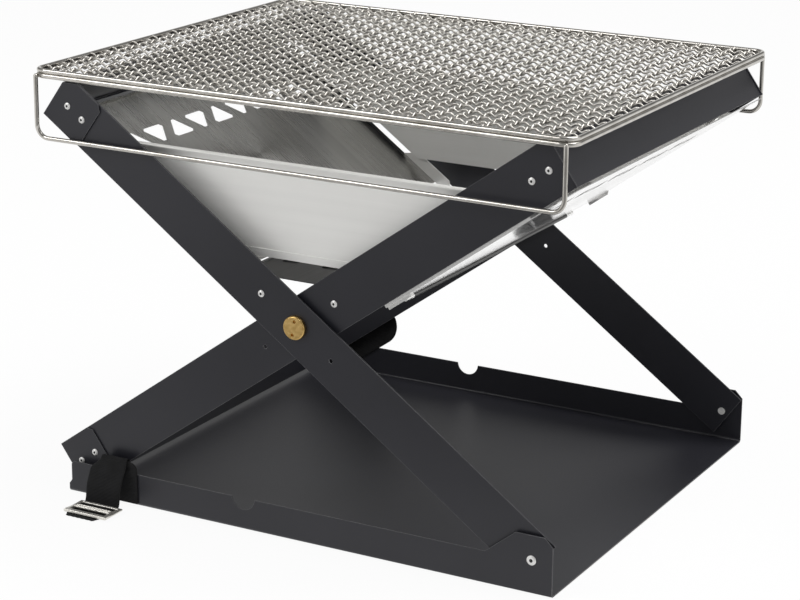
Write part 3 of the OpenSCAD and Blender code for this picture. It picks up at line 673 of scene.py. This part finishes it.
def make_buckle_ridges():
    at = np.linspace(-RIDGE_HALF, RIDGE_HALF, RIDGE_STEPS)
    ends = np.clip((RIDGE_HALF - np.abs(at)) / RIDGE_END, 0, 1)
    height = BUCKLE_LOW + BAR_RISE + BUCKLE_T + RIDGE_RISE * np.sqrt(ends) - RIDGE_SUNK
    parts = []
    for ridge in RIDGES:
        y = np.full_like(at, BUCKLE_AT[1] + ridge)
        path = np.stack([BUCKLE_AT[0] + at, y, height], 1) * MM
        parts.append(tube(path, (0, 1, 0), RIDGE_R * MM, RIDGE_SIDES))
    points, faces = joined(parts)
    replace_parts(new_piece("buckle_ridges", points, faces, NICKEL, "tray"), "strap_buckle")


# Broken mandrels in the middles of the rivets, near black as painted shade for their hollow centres,
# placed by s along a leg from the cross pivot
LEG_TURN = math.radians(35.6)
TAB_RIVETS, MID_RIVET, HINGE_RIVET = (277.0, 296.0), 44.0, -293.0
TAB_A_Y, LEG_A_Y, TAB_B_Y, LEG_B_Y = 220.1, 218.6, 214.4, 212.9
HEAD_H = 1.2
STUB_R, HINGE_STUB_R, STUB_H = 1.15, 1.7, 0.12
STUB_DEEP, STUB_SHOULDER, STUB_TIP = 1.07, 0.1, 0.86
STUB_SIDES = 16


def leg_place(s, n, side):
    """World x and z of a place s along a leg and n across it; frame A has side -1, frame B has 1."""
    return (side * (math.cos(LEG_TURN) * s - math.sin(LEG_TURN) * n),
            PIVOT_Z + math.sin(LEG_TURN) * s + math.cos(LEG_TURN) * n)


def stub(x, y, z, radius, side):
    """A short dark plug whose outer end is at y, on the near or the far side."""
    depths = (STUB_DEEP, STUB_SHOULDER, 0.0)
    path = np.array([(x, side * (y - depth), z) for depth in depths]) * MM
    points, faces = tube(path, (1, 0, 0), radius * MM, STUB_SIDES)
    points[-STUB_SIDES:] = path[-1] + (points[-STUB_SIDES:] - path[-1]) * STUB_TIP
    return points, [f[::-1] for f in faces] if side > 0 else faces


def make_stubs():
    hinge_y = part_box("hinge_rivets")[1][1] / MM - HEAD_H
    frame_a = [(s, TAB_A_Y, STUB_R) for s in TAB_RIVETS]
    frame_a += [(MID_RIVET, LEG_A_Y, STUB_R), (HINGE_RIVET, hinge_y, HINGE_STUB_R)]
    frame_b = [(s, LEG_B_Y, STUB_R) for s in (*TAB_RIVETS, MID_RIVET)]
    frame_b += [(-s, TAB_B_Y, STUB_R) for s in TAB_RIVETS]
    for name, body, turn, places in (("rivet_stubs_a", "frame_a", -1, frame_a),
                                     ("rivet_stubs_b", "frame_b", 1, frame_b)):
        parts = []
        for s, y, radius in places:
            x, z = leg_place(s, 0.0, turn)
            parts += [stub(x, y + HEAD_H + STUB_H, z, radius, side) for side in (-1, 1)]
        points, faces = joined(parts)
        # Painted shade: the mandrel plugs are near black to stand in for the shade in the rivets'
        # hollows
        new_piece(name, points, faces, RIVET_CENTRE_SHADE, body, smooth=False)


# Bowl trim: a turned-up wing on the left panel, and hoods under the floor's slots, near black as
# painted shade seen through the slots
WING_FROM, WING_TO, WING_LOW, WING_HIGH = 72.0, 134.0, -26.2, -13.5
WING_Y, WING_T = 202.2, 0.7
WING_SLANT, WING_CUT, WING_EDGE = 14.0, 4.0, 0.2
SHEET_Z = 228.97
SLOT_X, SLOT_Y = (-63.5, -21.2, 21.2, 63.5), (-121.9, -60.95, 0.0, 60.95, 121.9)
HOOD_RIM, HOOD_RIM_Z = (-13.0, 13.0, -11.0, 12.0), SHEET_Z - 0.45
HOOD_LOW, HOOD_LOW_Z = (-11.5, 11.5, -8.0, 10.5), SHEET_Z - 1.5
HOOD_T, HOOD_LIP = 0.4, 0.02


def make_wing():
    shape = ((WING_FROM, WING_LOW), (WING_TO, WING_LOW), (WING_TO - WING_SLANT, WING_HIGH),
             (WING_FROM + WING_CUT, WING_HIGH), (WING_FROM, WING_HIGH - WING_CUT))
    outline = [leg_place(s, n, -1) for s, n in shape]
    count = len(outline)
    points = [(x, WING_Y - t, z) for t in (0.0, WING_T) for x, z in outline]
    faces = [tuple(range(count)), tuple(range(2 * count - 1, count - 1, -1))]
    faces += [((k + 1) % count, k, count + k, count + (k + 1) % count) for k in range(count)]
    wing = new_piece("left_panel_wing", np.array(points) * MM, faces, STEEL_ENDS_LIT,
                     "left_bowl", smooth=False)
    edge = wing.modifiers.new("edge", "BEVEL")
    edge.width, edge.segments = WING_EDGE * MM, 2


def corners(at, reach, z):
    """The four corners of a rectangle round a place; reach is (x, x, y, y) from there."""
    x0, x1, y0, y1 = reach
    return [(at[0] + x, at[1] + y, z) for x, y in ((x0, y0), (x1, y0), (x1, y1), (x0, y1))]


def make_slot_shade_hoods():
    ring = [(0, 1), (1, 2), (2, 3), (3, 0)]
    quads = [(4, 5, 6, 7), (11, 10, 9, 8)]
    quads += [(a, b, 4 + b, 4 + a) for a, b in ring]
    quads += [(12 + b, 12 + a, 8 + a, 8 + b) for a, b in ring]
    quads += [(b, a, 12 + a, 12 + b) for a, b in ring]
    parts = []
    for at in [(x, y) for x in SLOT_X for y in SLOT_Y]:
        rows = (corners(at, HOOD_RIM, HOOD_RIM_Z) + corners(at, HOOD_LOW, HOOD_LOW_Z)
                + corners(at, HOOD_LOW, HOOD_LOW_Z - HOOD_T)
                + corners(at, HOOD_RIM, HOOD_RIM_Z - HOOD_LIP))
        parts.append((np.array(rows) * MM, quads))
    points, faces = joined(parts)
    # Painted shade: near-black hoods that make the slots look dark
    new_piece("floor_slot_shade_hoods", points, faces, SLOT_SHADE, "bowl_floor", smooth=False)


# Light and floor, in metres
STUDIO_DIM, FILL = 0.22, 0.55
# Soft boxes: direction, where each starts and is full (as a cosine), and its level
STUDIO_BOXES = (((0.80, 0.25, 0.55), 0.78, 0.93, 0.6), ((-0.9, -0.4, 0.5), 0.88, 0.97, 0.15),
                ((-0.44, 0.855, 0.30), 0.90, 0.98, 0.32), ((0.0, 0.1, 1.0), 0.85, 0.97, 0.5))
WHITE_TO, DIM_FROM = 0.03, 0.30
FLOOR_HALF, FLOOR_Z, FLOOR_TINT, FLOOR_SEEN = 6.0, -0.0004, (0.85, 0.85, 0.85), 0.93
# A part of the floor that is dimmer in reflections
FLAG_DIM, FLAG_X, FLAG_Y = 0.70, (-0.70, -0.42), (-0.3, -0.6)
LIGHT_AIM = (0, 0, 0.2)
# Lights: name, place, size and watts
LIGHTS = (("key", (-1.8, -2.2, 2.6), (1.6, 1.6), 38), ("top", (0.9, 0.6, 2.8), (2.2, 1.6), 50))


def ray(tree, name):
    path = tree.nodes.new("ShaderNodeLightPath")
    return path.outputs[name]


def seen_ray(tree):
    return math_node(tree, "MAXIMUM", ray(tree, "Is Camera Ray"), ray(tree, "Is Transmission Ray"))


def mixed_shader(tree, fac, first, second):
    node = tree.nodes.new("ShaderNodeMixShader")
    for source, socket in zip((fac, first, second), node.inputs):
        tree.links.new(source, socket)
    return node.outputs[0]


def facing(tree, direction, low, high):
    """0 to 1 as a world direction turns towards the given one."""
    coord = tree.nodes.new("ShaderNodeTexCoord")
    dot = tree.nodes.new("ShaderNodeVectorMath")
    dot.operation = "DOT_PRODUCT"
    tree.links.new(coord.outputs["Generated"], dot.inputs[0])
    dot.inputs[1].default_value = Vector(direction).normalized()
    return soft_step(tree, dot.outputs["Value"], low, high)


def background(tree, level):
    node = tree.nodes.new("ShaderNodeBackground")
    node.inputs["Color"].default_value = (1, 1, 1, 1)
    if isinstance(level, (int, float)):
        node.inputs["Strength"].default_value = level
    else:
        tree.links.new(level, node.inputs["Strength"])
    return node.outputs[0]


def make_world():
    """White to the eye, plain fill on surfaces, and a dim room with soft boxes in reflections."""
    world = bpy.data.worlds.new("studio")
    scene.world = world
    world.use_nodes = True
    tree = world.node_tree
    tree.nodes.clear()
    out = tree.nodes.new("ShaderNodeOutputWorld")
    height = facing(tree, (0, 0, 1), WHITE_TO, DIM_FROM)
    room = math_node(tree, "SUBTRACT", 1.0, multiply(tree, height, 1.0 - STUDIO_DIM))
    for direction, low, high, level in STUDIO_BOXES:
        room = add(tree, room, multiply(tree, facing(tree, direction, low, high), level))
    lit = mixed_shader(tree, ray(tree, "Is Glossy Ray"), background(tree, FILL), background(tree, room))
    eye = mixed_shader(tree, seen_ray(tree), lit, background(tree, 1.0))
    tree.links.new(eye, out.inputs[0])


def across_floor(tree, axis, low, high):
    """0 to 1 between two places on the floor."""
    geometry = tree.nodes.new("ShaderNodeNewGeometry")
    split = tree.nodes.new("ShaderNodeSeparateXYZ")
    tree.links.new(geometry.outputs["Position"], split.inputs[0])
    return soft_step(tree, split.outputs[axis], low, high)


def floor_material():
    """A pale floor that looks white to the eye and in reflections, and keeps the shadow."""
    mat = bpy.data.materials.new("floor")
    mat.use_nodes = True
    tree = mat.node_tree
    tree.nodes.clear()
    out = tree.nodes.new("ShaderNodeOutputMaterial")
    paint = tree.nodes.new("ShaderNodeBsdfDiffuse")
    paint.inputs["Color"].default_value = (*FLOOR_TINT, 1)
    glow = tree.nodes.new("ShaderNodeEmission")
    mirrored = ray(tree, "Is Glossy Ray")
    lift = multiply(tree, math_node(tree, "MAXIMUM", seen_ray(tree), mirrored), FLOOR_SEEN)
    flag = multiply(tree, across_floor(tree, "X", *FLAG_X), across_floor(tree, "Y", *FLAG_Y))
    dimmed = multiply(tree, multiply(tree, mirrored, flag), FLAG_DIM)
    tree.links.new(math_node(tree, "SUBTRACT", 1.0, dimmed), glow.inputs["Strength"])
    tree.links.new(mixed_shader(tree, lift, paint.outputs[0], glow.outputs[0]), out.inputs[0])
    return mat


def make_floor():
    reach = (-FLOOR_HALF, FLOOR_HALF, -FLOOR_HALF, FLOOR_HALF)
    data = bpy.data.meshes.new("floor")
    data.from_pydata(corners((0.0, 0.0), reach, 0.0), [], [(0, 1, 2, 3)])
    data.materials.append(floor_material())
    floor = bpy.data.objects.new("floor", data)
    floor.location.z = FLOOR_Z
    scene.collection.objects.link(floor)


def make_lights():
    for name, at, size, power in LIGHTS:
        data = bpy.data.lights.new(name, "AREA")
        data.shape = "RECTANGLE"
        data.size, data.size_y = size
        data.energy = power
        light = bpy.data.objects.new(name, data)
        light.location = at
        light.rotation_mode = "QUATERNION"
        light.rotation_quaternion = (Vector(LIGHT_AIM) - Vector(at)).to_track_quat("-Z", "Y")
        scene.collection.objects.link(light)


make_camera()
make_straps()
finish_nodes()
weave_grate()
make_buckle_frame()
make_buckle_ridges()
make_stubs()
make_wing()
make_slot_shade_hoods()
make_world()
make_floor()
make_lights()
